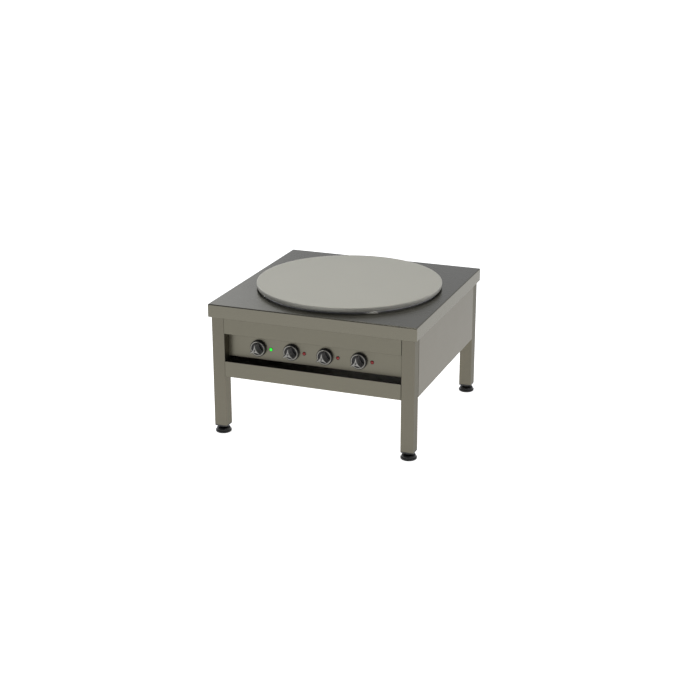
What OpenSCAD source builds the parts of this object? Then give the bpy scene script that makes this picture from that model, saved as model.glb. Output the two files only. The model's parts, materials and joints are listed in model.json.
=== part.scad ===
// Low electric stock-pot stove: a square stainless table on four tube legs with one round hot plate,
// a recessed control panel with four knobs and lamps, and four screw feet.
// Origin on the floor under the middle of the table. +X to the right, -Y to the front, +Z up.

/* [Table top] */
// Width of the top sheet, left to right
top_w = 650; // [640:5:900]
// Depth of the top sheet, front to back
top_d = 650; // [640:5:900]
// Height of the top sheet above the floor
work_h = 410; // [380:5:600]
// Thickness of the top sheet
top_t = 1.5; // [1:0.1:3]
// Height of the folded edge around the top sheet
edge_h = 40; // [20:1:60]
// Outer radius of the fold along the top edge
edge_r = 2.5; // [2:0.1:5]

/* [Legs] */
// Outer width of the square leg tube
leg_w = 40; // [35:1:50]
// Wall of the leg tube
leg_t = 2; // [1:0.5:4]
// Outer corner radius of the leg tube
leg_r = 4; // [3:0.5:6]
// How far the folded edge stands out past the legs
leg_inset = 8; // [5:1:20]
// Height of the leg's lower end above the floor, foot screwed in
leg_clear = 26; // [24:1:40]

/* [Panels] */
// Thickness of the fascia, side, back and control panels
panel_t = 1.2; // [0.8:0.1:2]
// Gap between a panel's end and the leg beside it
seam = 0.5; // [0.2:0.1:1]
// Depth of the front fascia's lower edge below the top
fascia_drop = 90; // [85:1:110]
// Depth of the control panel's lower edge below the top
panel_drop = 166; // [160:1:175]
// How far the control panel stands back from the fascia
recess = 30; // [28:1:38]
// Open height of the air slot under the control panel
slot_h = 10; // [6:1:16]
// Depth of the side and back panels' lower edge below the top
skirt_drop = 225; // [215:1:240]
// Width of the inward flange along a panel's lower edge
flange_w = 18; // [15:1:25]
// Width of a vent slot in the back panel and the bottom cover
vent_w = 44; // [20:1:60]
// Height of a vent slot
vent_h = 6; // [4:1:8]

/* [Upper frame] */
// Thickness of the rails under the top sheet
rail_w = 25; // [20:1:30]
// Height of the rails
rail_h = 40; // [38:1:60]
// Wall of the rails
rail_t = 1.5; // [1:0.5:3]
// Width of the two channels that carry the plate
bearer_w = 30; // [24:1:40]
// Depth of the channels
bearer_h = 25; // [20:1:35]
// Wall of the channels
bearer_t = 2.5; // [2:0.5:4]

/* [Hot plate] */
// Diameter of the hot plate
plate_d = 568; // [430:2:580]
// Thickness of the plate's rim
rim_t = 13; // [10:1:20]
// Radius along the rim's upper edge
rim_r = 3.5; // [1:0.5:5]
// Gap between the top sheet and the rim's underside
plate_lift = 5; // [3:0.5:10]
// How far the plate's body reaches below the rim
body_drop = 12; // [8:1:16]
// Gap between the plate's body and the collar around it
body_gap = 7; // [4:0.5:12]
// How far the polished collar stands in from the rim
collar_inset = 6; // [4:0.5:12]
// Wall of the collar
collar_t = 2.5; // [1.5:0.5:4]
// How far the collar reaches below the top sheet
collar_drop = 6; // [4:1:10]

/* [Heating] */
// Mean radius of the inner ring element
ring_in_r = 70; // [60:1:80]
// Mean radius of the middle ring element
ring_mid_r = 130; // [125:1:140]
// Mean radius of the outer ring element
ring_out_r = 195; // [188:1:205]
// Width of an element's flattened tube
ring_w = 9; // [7:0.5:11]
// Height of an element's flattened tube
ring_h = 7; // [6.5:0.5:9]
// Half the distance between an element's two ends
lead_half = 12; // [8:1:16]
// How far an element's ends reach below the heat shield
lead_drop = 14; // [8:1:20]
// Thickness of the clamp plate under the elements
clamp_t = 3; // [2:0.5:5]
// Thickness of the ceramic fibre disc
fibre_t = 16; // [10:1:20]
// Thickness of the heat shield pan
shield_t = 1.2; // [0.8:0.1:2]
// Radius of the circle of clamp studs
stud_circle_r = 163; // [155:1:168]
// Diameter of the clamp studs
stud_d = 8; // [6:1:10]
// How deep a stud sits in the plate
stud_seat = 9; // [6:1:12]
// Diameter of the limiter's sensing bulb
bulb_d = 6; // [4:0.5:6]
// Length of the limiter's sensing bulb
bulb_l = 72; // [40:1:80]

/* [Controls] */
// Distance between neighbouring knobs
knob_pitch = 106; // [90:1:120]
// Distance from a knob to the lamp on its right
lamp_step = 40; // [34:1:44]
// Depth of the knob centres below the top
knob_drop = 131.5; // [125:0.5:140]
// Diameter of a knob's round base
knob_d = 50; // [40:1:52]
// Thickness of a knob's round base
base_t = 8.5; // [6:0.5:10]
// Diameter of the three-lobed grip
grip_d = 37; // [30:1:38]
// Distance from the control panel to the grip's front face
grip_reach = 30; // [22:1:32]
// Thickness of the metal cap on the grip
cap_t = 1.5; // [1:0.1:2]
// Outer diameter of the dial ring on the base
dial_d = 45; // [38:0.5:50]
// Inner diameter of the dial ring
dial_in_d = 38.5; // [31:0.5:42]
// Thickness of the dial ring
dial_t = 1.4; // [0.8:0.1:2]
// Diameter of the switch shafts
shaft_d = 6; // [4:0.5:8]
// Diameter of a lamp's lens
lens_d = 11.5; // [10:0.5:13]
// Diameter of the hole behind a lens
lamp_hole_d = 9; // [6:0.5:9.5]

/* [Feet] */
// Largest diameter of a foot pad
pad_d = 49; // [40:1:56]
// Height of a foot pad
pad_h = 16; // [12:1:18]
// Diameter of the neck above the pad
neck_d = 25; // [20:1:30]
// Diameter of the foot's threaded stud
foot_stud_d = 12; // [8:1:16]
// Length of the stud inside the leg
foot_stud_l = 34; // [25:1:60]
// Thickness of the plug's flange under the leg
plug_t = 3; // [2:0.5:4]
// Depth of the plug inside the leg
plug_l = 28; // [15:1:40]

/* [Supply] */
// Inner diameter of the cable gland
gland_bore = 18; // [10:0.5:22]
// Distance of the cable gland from the middle, to the right
gland_x = 200; // [120:5:240]
// Distance of the cable gland from the back panel
gland_back = 60; // [40:1:90]

/* [Fits] */
// Radial clearance of a shaft or stud that turns in its hole
run_fit = 0.05; // [0.02:0.01:0.1]
// Gap between neighbouring pieces that move past each other
move_gap = 0.4; // [0.3:0.1:1]

/* [Hidden] */
$fn = 64;
eps = 0.01;

// Colours
STEEL = [0.62, 0.62, 0.58];
DARK_STEEL = [0.45, 0.45, 0.43];
PLATE = [0.66, 0.66, 0.63];
BLACK = [0.06, 0.06, 0.06];
GREY = [0.25, 0.25, 0.25];
SILVER = [0.7, 0.7, 0.7];
FIBRE = [0.85, 0.83, 0.78];
BEIGE = [0.8, 0.78, 0.7];
GREEN = [0.1, 0.85, 0.2];
RED = [0.6, 0.1, 0.1];

// Planes and places
under_z = work_h - top_t;
skirt_z = work_h - skirt_drop;
fascia_z = work_h - fascia_drop;
panel_z = work_h - panel_drop;
low_rail_top = panel_z - slot_h;
cover_z = skirt_z + panel_t;
cover_t = 1;
knob_z = work_h - knob_drop;
face_x = top_w / 2 - leg_inset;
face_y = top_d / 2 - leg_inset;
leg_x = face_x - leg_w / 2;
leg_y = face_y - leg_w / 2;
bay_x = face_x - leg_w;
bay_y = face_y - leg_w;
panel_y = -face_y + recess;
slot_row_step = vent_h * 2.5;

// Hot plate stack, from the top down
plate_r = plate_d / 2;
collar_r = plate_r - collar_inset;
body_r = collar_r - collar_t - body_gap;
rim_z = work_h + plate_lift;
body_z = rim_z - body_drop;
clamp_z = body_z - ring_h - clamp_t;
fibre_z = clamp_z - fibre_t;
shield_z = fibre_z - shield_t;
bearer_z = under_z - rail_h;
clamp_gap = 6;
clamp_r = body_r - 2 * shield_t - clamp_gap;
stud_count = 6;
bearer_y = stud_circle_r * sin(60);
bearer_half = face_x - panel_t - rail_w / 2;
nut_w = stud_d * 1.625;
nut_h = stud_d * 0.8;
stud_tail = 3;
sleeve_r = nut_w / 2;
hole_gap = 1;

// Limiter: the bulb lies between the inner and middle elements
bulb_y = (ring_in_r + ring_mid_r) / 2 + 2;
bulb_x = -bulb_l / 2;
capillary_r = 1.2;
bend_r = 6;
tube_x = bulb_x + bulb_l + bend_r;
tube_z = bearer_z - bearer_h - 14;
limiter_size = [42, 26, 38];
limiter_y = face_y - panel_t - limiter_size[1];

// Controls
knob_names = 4;
knob_left = -((knob_names - 1) * knob_pitch + lamp_step) / 2;
screw_r = 2;
screw_reach = 14;
screw_head_r = 3.8;
screw_head_t = 2.2;
switch_w = 46;
switch_depth = 48;
regulator_depth = 34;
shaft_seat = 16;
shaft_tip = 6;
flute_r = grip_d * 0.66;
flute_waist = grip_d * 0.14;
flute_tilt = 7;
base_recess_t = 3;

// Supply entry
gland_wall = 3.5;
gland_y = face_y - gland_back;

// Feet
stud_bed = 5;
neck_top = leg_clear - plug_t - move_gap / 2;
FL = [-1, -1];
FR = [1, -1];
RL = [-1, 1];
RR = [1, 1];

// A square of side w with corners of radius r
module round_square(w, r) {
    square([w, w - 2 * r], center = true);
    square([w - 2 * r, w], center = true);
    for (x = [-1, 1], y = [-1, 1])
        translate([x * (w / 2 - r), y * (w / 2 - r)]) circle(r);
}

// A filled section of the top, h high, with both upper corners rounded
module top_section(w, h, r) {
    translate([-w / 2, 0]) square([w, h - r]);
    translate([-w / 2 + r, 0]) square([w - 2 * r, h]);
    for (x = [-1, 1]) translate([x * (w / 2 - r), h - r]) circle(r);
}

// A block of the top: both sections carried through each other
module top_block(w, d, h, r) {
    intersection() {
        rotate([90, 0, 0]) linear_extrude(d, center = true) top_section(w, h, r);
        rotate([90, 0, 90]) linear_extrude(w, center = true) top_section(d, h, r);
    }
}

// A ring between two radii
module tube(r_out, r_in, h) {
    difference() {
        cylinder(r = r_out, h = h);
        translate([0, 0, -eps]) cylinder(r = r_in, h = h + 2 * eps);
    }
}

// Puts children at each stud, turned the same way
module at_studs(angles) {
    for (a = angles)
        translate([stud_circle_r * cos(a), stud_circle_r * sin(a), 0]) children();
}

all_studs = [for (i = [0 : stud_count - 1]) i * 360 / stud_count];
long_studs = [60, 120, 240, 300];
short_studs = [0, 180];
ring_radii = [ring_in_r, ring_mid_r, ring_out_r];

// Puts children at every element end
module at_leads() {
    for (r = ring_radii, s = [-1, 1])
        translate([sqrt(r * r - lead_half * lead_half), s * lead_half, 0]) children();
}

// Turns local +Z to face out of the control panel, at knob number i
module on_panel(i, dx = 0) {
    translate([knob_left + i * knob_pitch + dx, panel_y, knob_z]) rotate([90, 0, 0]) children();
}

module top_sheet() {
    color(STEEL) difference() {
        translate([0, 0, work_h - edge_h]) top_block(top_w, top_d, edge_h, edge_r);
        translate([0, 0, work_h - edge_h - eps])
            top_block(top_w - 2 * top_t, top_d - 2 * top_t, edge_h - top_t + eps, edge_r - top_t);
        translate([0, 0, work_h - edge_h]) cylinder(r = collar_r, h = edge_h + eps, $fn = 180);
    }
}

module plate_collar() {
    color(SILVER) translate([0, 0, under_z - collar_drop])
        tube(collar_r, collar_r - collar_t, rim_z - under_z + collar_drop, $fn = 180);
}

module leg(side) {
    color(STEEL) translate([side[0] * leg_x, side[1] * leg_y, leg_clear])
        linear_extrude(under_z - leg_clear) difference() {
            round_square(leg_w, leg_r);
            round_square(leg_w - 2 * leg_t, leg_r - leg_t);
        }
}

// A rectangular rail along X, its middle at the origin, its top at z = 0
module rail(len) {
    translate([0, 0, -rail_h / 2]) rotate([90, 0, 90]) linear_extrude(len, center = true) difference() {
        square([rail_w, rail_h], center = true);
        square([rail_w - 2 * rail_t, rail_h - 2 * rail_t], center = true);
    }
}

module upper_rails() {
    color(DARK_STEEL) translate([0, 0, under_z]) for (s = [-1, 1]) {
        translate([0, s * (face_y - panel_t - rail_w / 2), 0]) rail(2 * bay_x);
        translate([s * (face_x - panel_t - rail_w / 2), 0, 0]) rotate([0, 0, 90]) rail(2 * bay_y);
    }
}

module plate_bearers() {
    color(DARK_STEEL) for (s = [-1, 1]) difference() {
        translate([0, s * bearer_y, bearer_z - bearer_h]) rotate([90, 0, 90])
            linear_extrude(2 * bearer_half, center = true) difference() {
                translate([-bearer_w / 2, 0]) square([bearer_w, bearer_h]);
                translate([-bearer_w / 2 + bearer_t, -eps])
                    square([bearer_w - 2 * bearer_t, bearer_h - bearer_t + eps]);
            }
        translate([0, 0, bearer_z - bearer_t - eps]) at_studs(long_studs)
            cylinder(d = stud_d + hole_gap, h = bearer_t + 2 * eps);
    }
}

// A flat sheet between the legs, its outer face at y = 0, with an inward flange along its lower edge
module sheet_with_flange(len, z_low, z_high, flange) {
    translate([-len / 2, 0, z_low]) cube([len, panel_t, z_high - z_low]);
    translate([-len / 2, 0, z_low]) cube([len, flange, panel_t]);
}

module front_fascia() {
    color(STEEL) translate([0, -face_y, 0])
        sheet_with_flange(2 * (bay_x - seam), fascia_z, under_z, recess + panel_t);
}

module control_panel() {
    half = bay_x - seam;
    color(STEEL) difference() {
        union() {
            translate([-half, panel_y, panel_z]) cube([2 * half, panel_t, fascia_z - panel_z]);
            translate([-half, panel_y, panel_z]) cube([2 * half, flange_w / 2, panel_t]);
            for (x = [-half, half - panel_t])
                translate([x, panel_y, panel_z]) cube([panel_t, flange_w, fascia_z - panel_z]);
        }
        for (i = [0 : knob_names - 1]) {
            on_panel(i) translate([0, 0, -panel_t - eps]) {
                cylinder(d = shaft_d + 3 * hole_gap, h = panel_t + 2 * eps);
                for (x = [-1, 1]) translate([x * screw_reach, 0, 0])
                    cylinder(r = screw_r + run_fit, h = panel_t + 2 * eps);
            }
            on_panel(i, lamp_step) translate([0, 0, -panel_t - eps])
                cylinder(d = lamp_hole_d, h = panel_t + 2 * eps);
        }
    }
}

module lower_rail() {
    color(STEEL) translate([0, -face_y, 0])
        sheet_with_flange(2 * (bay_x - seam), skirt_z, low_rail_top, flange_w);
}

// Places of the screws that hold the bottom cover, along one side panel's flange
module at_cover_screws(half_len) {
    for (y = [-0.8, -0.27, 0.27, 0.8]) translate([0, y * half_len, 0]) children();
}

module side_panel(s) {
    half = bay_y - seam;
    color(STEEL) difference() {
        translate([s * face_x, 0, 0]) rotate([0, 0, s * 90])
            sheet_with_flange(2 * half, skirt_z, under_z, flange_w);
        translate([s * (face_x - flange_w / 2), 0, skirt_z - eps]) at_cover_screws(half)
            cylinder(r = screw_r + run_fit, h = panel_t + 2 * eps);
    }
}

// Rows of slots through a sheet, n across and m high, along X and the sheet's own up direction Y
module vent_rows(n, m, h) {
    for (i = [0 : n - 1], j = [0 : m - 1])
        translate([(i - (n - 1) / 2) * vent_w * 1.4, (j - (m - 1) / 2) * slot_row_step, 0]) {
            cube([vent_w - vent_h, vent_h, h], center = true);
            for (x = [-1, 1]) translate([x * (vent_w - vent_h) / 2, 0, 0])
                cylinder(d = vent_h, h = h, center = true);
        }
}

module back_panel() {
    color(STEEL) difference() {
        translate([0, face_y, 0]) rotate([0, 0, 180])
            sheet_with_flange(2 * (bay_x - seam), skirt_z, under_z, flange_w);
        translate([0, face_y, (skirt_z + bearer_z) / 2]) rotate([90, 0, 0]) vent_rows(5, 5, 3 * panel_t);
    }
}

module bottom_cover() {
    x = face_x - panel_t - seam;
    y = face_y - panel_t - seam;
    notch = leg_w + seam;
    color(DARK_STEEL) difference() {
        translate([-x, -y, cover_z]) cube([2 * x, 2 * y, cover_t]);
        for (sx = [-1, 1], sy = [-1, 1]) translate([sx * face_x, sy * face_y, cover_z])
            cube([2 * notch, 2 * notch, 3 * cover_t], center = true);
        for (s = [-1, 1]) {
            translate([0, s * bay_y / 3, cover_z]) vent_rows(6, 5, 3 * cover_t);
            translate([s * (face_x - flange_w / 2), 0, cover_z - eps]) at_cover_screws(bay_y - seam)
                cylinder(r = screw_r + run_fit, h = cover_t + 2 * eps);
        }
        translate([gland_x, gland_y, cover_z - eps])
            cylinder(r = gland_bore / 2 + gland_wall, h = cover_t + 2 * eps);
    }
}

// A pan-head screw, its head under z = 0 and its shank above
module screw(len) {
    cylinder(r = screw_r, h = len);
    translate([0, 0, -screw_head_t]) cylinder(r = screw_head_r, h = screw_head_t);
}

module cover_screws() {
    color(SILVER) for (s = [-1, 1])
        translate([s * (face_x - flange_w / 2), 0, skirt_z]) at_cover_screws(bay_y - seam) screw(8);
}

module hot_plate() {
    color(PLATE) difference() {
        union() {
            translate([0, 0, rim_z]) rotate_extrude($fn = 180) {
                square([plate_r - rim_r, rim_t]);
                square([plate_r, rim_t - rim_r]);
                translate([plate_r - rim_r, rim_t - rim_r]) circle(rim_r);
            }
            translate([0, 0, body_z]) cylinder(r = body_r, h = body_drop + eps, $fn = 180);
        }
        translate([0, 0, body_z - eps]) at_studs(all_studs)
            cylinder(d = stud_d, h = stud_seat + eps);
    }
}

// A ring heating element of mean radius r with both ends turned down through the heat shield
module ring_element(r) {
    open = asin(lead_half / r);
    lead_x = sqrt(r * r - lead_half * lead_half);
    color(DARK_STEEL) {
        translate([0, 0, body_z - ring_h / 2]) rotate([0, 0, open])
            rotate_extrude(angle = 360 - 2 * open, $fn = 120) translate([r, 0]) {
                square([ring_w - ring_h, ring_h], center = true);
                for (x = [-1, 1]) translate([x * (ring_w - ring_h) / 2, 0]) circle(ring_h / 2);
            }
        for (s = [-1, 1]) translate([lead_x, s * lead_half, shield_z - lead_drop])
            cylinder(d = ring_h, h = body_z - ring_h / 2 - shield_z + lead_drop);
    }
}

module element_inner() { ring_element(ring_in_r); }
module element_middle() { ring_element(ring_mid_r); }
module element_outer() { ring_element(ring_out_r); }

// Holes for the studs, the element ends and the capillary, through a layer of the stack
module layer_holes(z, h, stud_hole) {
    translate([0, 0, z - eps]) {
        at_studs(all_studs) cylinder(d = stud_hole, h = h + 2 * eps);
        at_leads() cylinder(d = ring_h + 2 * hole_gap, h = h + 2 * eps);
        translate([tube_x, bulb_y, 0]) cylinder(r = capillary_r + hole_gap, h = h + 2 * eps);
    }
}

module clamp_plate() {
    color(DARK_STEEL) difference() {
        translate([0, 0, clamp_z]) cylinder(r = clamp_r, h = clamp_t, $fn = 120);
        layer_holes(clamp_z, clamp_t, stud_d + hole_gap / 2);
    }
}

module fibre_disc() {
    color(FIBRE) difference() {
        translate([0, 0, fibre_z]) cylinder(r = body_r - 2 * shield_t - hole_gap, h = fibre_t, $fn = 120);
        layer_holes(fibre_z, fibre_t, nut_w * 1.2 + hole_gap);
    }
}

module heat_shield() {
    r = body_r - shield_t;
    color(SILVER) difference() {
        translate([0, 0, shield_z]) cylinder(r = r, h = body_z - shield_z, $fn = 120);
        translate([0, 0, fibre_z]) cylinder(r = r - shield_t, h = body_z - fibre_z + eps, $fn = 120);
        layer_holes(shield_z, shield_t, stud_d + hole_gap / 2);
    }
}

module plate_studs() {
    top = body_z + stud_seat;
    long_z = bearer_z - bearer_t - nut_h - stud_tail;
    short_z = shield_z - nut_h - stud_tail;
    color(SILVER) {
        translate([0, 0, long_z]) at_studs(long_studs) cylinder(d = stud_d, h = top - long_z);
        translate([0, 0, short_z]) at_studs(short_studs) cylinder(d = stud_d, h = top - short_z);
    }
}

// A hexagon nut whose top is at z = 0
module nut() {
    translate([0, 0, -nut_h]) difference() {
        cylinder(r = nut_w / sqrt(3), h = nut_h, $fn = 6);
        translate([0, 0, -eps]) cylinder(d = stud_d, h = nut_h + 2 * eps);
    }
}

module plate_nuts() {
    color(SILVER) {
        translate([0, 0, clamp_z]) at_studs(all_studs) nut();
        translate([0, 0, bearer_z - bearer_t]) at_studs(long_studs) nut();
        translate([0, 0, shield_z]) at_studs(short_studs) nut();
    }
}

module standoff_sleeves() {
    color(SILVER) translate([0, 0, bearer_z]) at_studs(long_studs)
        tube(sleeve_r, (stud_d + hole_gap / 2) / 2, shield_z - bearer_z);
}

// A quarter bend of the capillary, from +X at the origin's level down to -Z
module bend() {
    rotate([90, 0, 0]) rotate_extrude(angle = 90) translate([bend_r, 0]) circle(capillary_r);
}

module safety_limiter() {
    bulb_z = body_z - bulb_d / 2 - move_gap;
    color(BEIGE) {
        translate([bulb_x, bulb_y, bulb_z]) rotate([0, 90, 0]) cylinder(d = bulb_d, h = bulb_l);
        translate([tube_x - bend_r, bulb_y, bulb_z - bend_r]) bend();
        translate([tube_x, bulb_y, tube_z + bend_r])
            cylinder(r = capillary_r, h = bulb_z - tube_z - 2 * bend_r);
        translate([tube_x, bulb_y + bend_r, tube_z + bend_r]) rotate([0, 0, -90]) rotate([0, 90, 0]) bend();
        translate([tube_x, bulb_y + bend_r, tube_z]) rotate([-90, 0, 0])
            cylinder(r = capillary_r, h = limiter_y - bulb_y - bend_r + 1);
        translate([tube_x - limiter_size[0] / 2, limiter_y, tube_z - limiter_size[2] / 2])
            cube(limiter_size);
    }
}

// A switch block behind the control panel, with a bore for its shaft
module switch_block(w, depth) {
    translate([0, 0, -panel_t]) difference() {
        union() {
            translate([-w / 2, -w / 2, -depth * 0.7]) cube([w, w, depth * 0.7]);
            translate([0, 0, -depth]) cylinder(d = w * 0.8, h = depth * 0.4);
        }
        translate([0, 0, -shaft_seat]) cylinder(d = shaft_d + 2 * run_fit, h = shaft_seat + eps);
        for (x = [-1, 1]) translate([x * screw_reach, 0, -8]) cylinder(r = screw_r, h = 8 + eps);
    }
}

module main_switch() {
    color(GREY) on_panel(0) switch_block(switch_w, switch_depth);
}

module energy_regulators() {
    color(BEIGE) for (i = [1 : knob_names - 1]) on_panel(i) switch_block(switch_w, regulator_depth);
}

module switch_screws() {
    color(SILVER) for (i = [0 : knob_names - 1], x = [-1, 1])
        on_panel(i, x * screw_reach) rotate([180, 0, 0]) screw(7);
}

module lamp_bodies() {
    color(GREY) for (i = [0 : knob_names - 1]) on_panel(i, lamp_step) {
        translate([0, 0, -28]) cylinder(d = lamp_hole_d, h = 28);
        translate([0, 0, -panel_t - 3]) cylinder(d = lamp_hole_d + 4, h = 3);
    }
}

// A domed lens on the panel
module lens(i) {
    dome_r = lens_d * 0.62;
    rim = 1.2;
    drop = sqrt(dome_r * dome_r - (lens_d / 2 - 0.7) * (lens_d / 2 - 0.7));
    on_panel(i, lamp_step) {
        cylinder(d = lens_d, h = rim);
        intersection() {
            translate([0, 0, rim - drop]) sphere(dome_r);
            cylinder(d = lens_d, h = dome_r * 2);
        }
    }
}

module mains_lens() { color(GREEN) lens(0); }
module zone_lenses() { color(RED) for (i = [1 : knob_names - 1]) lens(i); }

// The three-lobed grip between two heights; its flutes open towards the front
module lobes(z0, z1, d) {
    difference() {
        translate([0, 0, z0]) cylinder(d = d, h = z1 - z0);
        for (a = [30, 150, 270]) rotate([0, 0, a])
            translate([flute_r + flute_waist, 0, grip_reach]) rotate([0, flute_tilt, 0])
                cylinder(r = flute_r, h = 3 * grip_reach, center = true, $fn = 96);
    }
}

module knob(i) {
    base_top = move_gap + base_t;
    color(BLACK) on_panel(i) difference() {
        union() {
            translate([0, 0, move_gap]) cylinder(d = knob_d, h = base_t);
            lobes(base_top - eps, grip_reach, grip_d);
        }
        translate([0, 0, move_gap - eps])
            cylinder(r = screw_reach + screw_head_r + hole_gap, h = base_recess_t + eps);
        cylinder(d = shaft_d, h = grip_reach - shaft_tip);
    }
}

module dial(i) {
    color(SILVER) on_panel(i) translate([0, 0, move_gap + base_t]) tube(dial_d / 2, dial_in_d / 2, dial_t);
}

module cap(i) {
    color(SILVER) on_panel(i) lobes(grip_reach, grip_reach + cap_t, grip_d - 2);
}

module shaft(i) {
    back = panel_t + shaft_seat - move_gap;
    color(SILVER) on_panel(i) translate([0, 0, -back])
        cylinder(d = shaft_d, h = back + grip_reach - shaft_tip);
}

module terminal_block() {
    size = [66, 24, 20];
    pitch = 12;
    color(BEIGE) translate([gland_x - 2 * size[0], gland_y - size[1] / 2, cover_z + cover_t]) difference() {
        cube(size);
        for (i = [0 : 4]) translate([size[0] / 2 + (i - 2) * pitch, size[1] / 2, size[2] / 2])
            cylinder(r = 3.5, h = size[2]);
    }
}

// The gland hangs through the bottom cover: body and cap below, lock nut above
module cable_gland() {
    bore = gland_bore / 2;
    nut_t = 5;
    hex_t = 6;
    reach = 20;
    top = cover_t + nut_t;
    color(GREY) translate([gland_x, gland_y, cover_z]) difference() {
        union() {
            translate([0, 0, -hex_t]) cylinder(r = bore + 8, h = hex_t, $fn = 6);
            translate([0, 0, -reach]) cylinder(r = bore + 5, h = reach);
            cylinder(r = bore + gland_wall, h = top);
            translate([0, 0, cover_t]) cylinder(r = bore + 8, h = nut_t, $fn = 6);
        }
        translate([0, 0, -reach - eps]) cylinder(r = bore, h = reach + top + 2 * eps);
    }
}

module leg_plugs() {
    inner = leg_w - 2 * leg_t;
    color(BLACK) for (side = [FL, FR, RL, RR]) translate([side[0] * leg_x, side[1] * leg_y, leg_clear])
        difference() {
            union() {
                translate([0, 0, -plug_t]) linear_extrude(plug_t) round_square(leg_w, leg_r);
                linear_extrude(plug_l) round_square(inner, leg_r - leg_t);
            }
            translate([0, 0, -plug_t - eps])
                cylinder(d = foot_stud_d + 2 * run_fit, h = plug_l + plug_t + 2 * eps);
        }
}

module foot_stud(side) {
    bed = stud_bed + move_gap;
    color(BLACK) translate([side[0] * leg_x, side[1] * leg_y, 0]) {
        translate([0, 0, bed]) cylinder(d = foot_stud_d, h = leg_clear + foot_stud_l - bed);
        translate([0, 0, pad_h + move_gap]) cylinder(d = neck_d, h = neck_top - pad_h - move_gap);
    }
}

// A domed pad: one round flank, cut flat at the floor and at the top
module foot_pad(side) {
    flank_r = pad_h * 0.86;
    flank_z = 3.2;
    color(BLACK) translate([side[0] * leg_x, side[1] * leg_y, 0]) difference() {
        rotate_extrude() intersection() {
            square([pad_d, pad_h]);
            union() {
                square([pad_d / 2 - flank_r, pad_h]);
                translate([pad_d / 2 - flank_r, flank_z]) circle(flank_r);
            }
        }
        translate([0, 0, stud_bed]) cylinder(d = foot_stud_d + 2 * run_fit, h = pad_h);
    }
}

top_sheet();
plate_collar();
leg(FL);  // leg_front_left
leg(FR);  // leg_front_right
leg(RL);  // leg_rear_left
leg(RR);  // leg_rear_right
upper_rails();
plate_bearers();
front_fascia();
control_panel();
lower_rail();
side_panel(-1);  // side_panel_left
side_panel(1);  // side_panel_right
back_panel();
bottom_cover();
cover_screws();
hot_plate();
element_inner();
element_middle();
element_outer();
clamp_plate();
fibre_disc();
heat_shield();
plate_studs();
plate_nuts();
standoff_sleeves();
safety_limiter();
main_switch();
energy_regulators();
switch_screws();
lamp_bodies();
mains_lens();
zone_lenses();
knob(0);  // knob_mains
knob(1);  // knob_inner
knob(2);  // knob_middle
knob(3);  // knob_outer
dial(0);  // dial_mains
dial(1);  // dial_inner
dial(2);  // dial_middle
dial(3);  // dial_outer
cap(0);  // cap_mains
cap(1);  // cap_inner
cap(2);  // cap_middle
cap(3);  // cap_outer
shaft(0);  // shaft_mains
shaft(1);  // shaft_inner
shaft(2);  // shaft_middle
shaft(3);  // shaft_outer
terminal_block();
cable_gland();
leg_plugs();
foot_stud(FL);  // stud_front_left
foot_stud(FR);  // stud_front_right
foot_stud(RL);  // stud_rear_left
foot_stud(RR);  // stud_rear_right
foot_pad(FL);  // pad_front_left
foot_pad(FR);  // pad_front_right
foot_pad(RL);  // pad_rear_left
foot_pad(RR);  // pad_rear_right
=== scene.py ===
import json
import math

import bpy
import numpy as np
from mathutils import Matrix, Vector


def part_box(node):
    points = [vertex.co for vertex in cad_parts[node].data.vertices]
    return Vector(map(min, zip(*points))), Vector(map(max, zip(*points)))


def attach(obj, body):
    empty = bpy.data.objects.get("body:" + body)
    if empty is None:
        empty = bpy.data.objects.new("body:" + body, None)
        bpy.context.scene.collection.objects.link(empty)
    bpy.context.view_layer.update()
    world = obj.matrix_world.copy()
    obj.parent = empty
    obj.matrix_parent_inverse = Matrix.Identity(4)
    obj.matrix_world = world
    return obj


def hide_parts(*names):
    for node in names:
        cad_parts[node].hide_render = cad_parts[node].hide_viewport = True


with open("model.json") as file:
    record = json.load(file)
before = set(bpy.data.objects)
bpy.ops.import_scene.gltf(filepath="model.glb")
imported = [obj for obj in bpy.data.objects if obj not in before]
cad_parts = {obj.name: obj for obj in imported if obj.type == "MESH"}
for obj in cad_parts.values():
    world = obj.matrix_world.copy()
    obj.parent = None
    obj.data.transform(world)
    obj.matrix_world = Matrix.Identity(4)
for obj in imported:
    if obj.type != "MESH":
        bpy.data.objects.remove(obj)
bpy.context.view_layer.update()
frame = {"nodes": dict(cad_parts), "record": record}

mm = 0.001
turn = 2 * math.pi
bodyOf = {node: body for body, nodes in frame["record"]["behaviour"]["bodies"].items() for node in nodes}
slotOf = {part["node"]: part["material_slot"] for part in frame["record"]["subparts"]}
scene = bpy.context.scene
scene.view_settings.view_transform = "Standard"   # plain colours, no film curve
print("frame loaded:", len(frame["nodes"]), "nodes")


cameraView = {
    "place": (1.4957, -3.9484, 1.6856),   # metres, from the point on the floor under the table
    "yaw": 20.722,                        # degrees to the left of straight ahead
    "pitch": -19.388,                     # degrees above the horizon
    "lens": 73.79,                        # mm
    "sensor": 36,                         # mm across
    "farthest": 200,                      # metres
}


def placeCamera():
    data = bpy.data.cameras.new("tableCamera")
    data.lens = cameraView["lens"]
    data.sensor_width = cameraView["sensor"]
    data.clip_end = cameraView["farthest"]
    camera = bpy.data.objects.new("tableCamera", data)
    camera.location = cameraView["place"]
    camera.rotation_euler = (math.radians(90 + cameraView["pitch"]), 0, math.radians(cameraView["yaw"]))
    scene.collection.objects.link(camera)
    scene.camera = camera


placeCamera()
print("camera placed")


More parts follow.
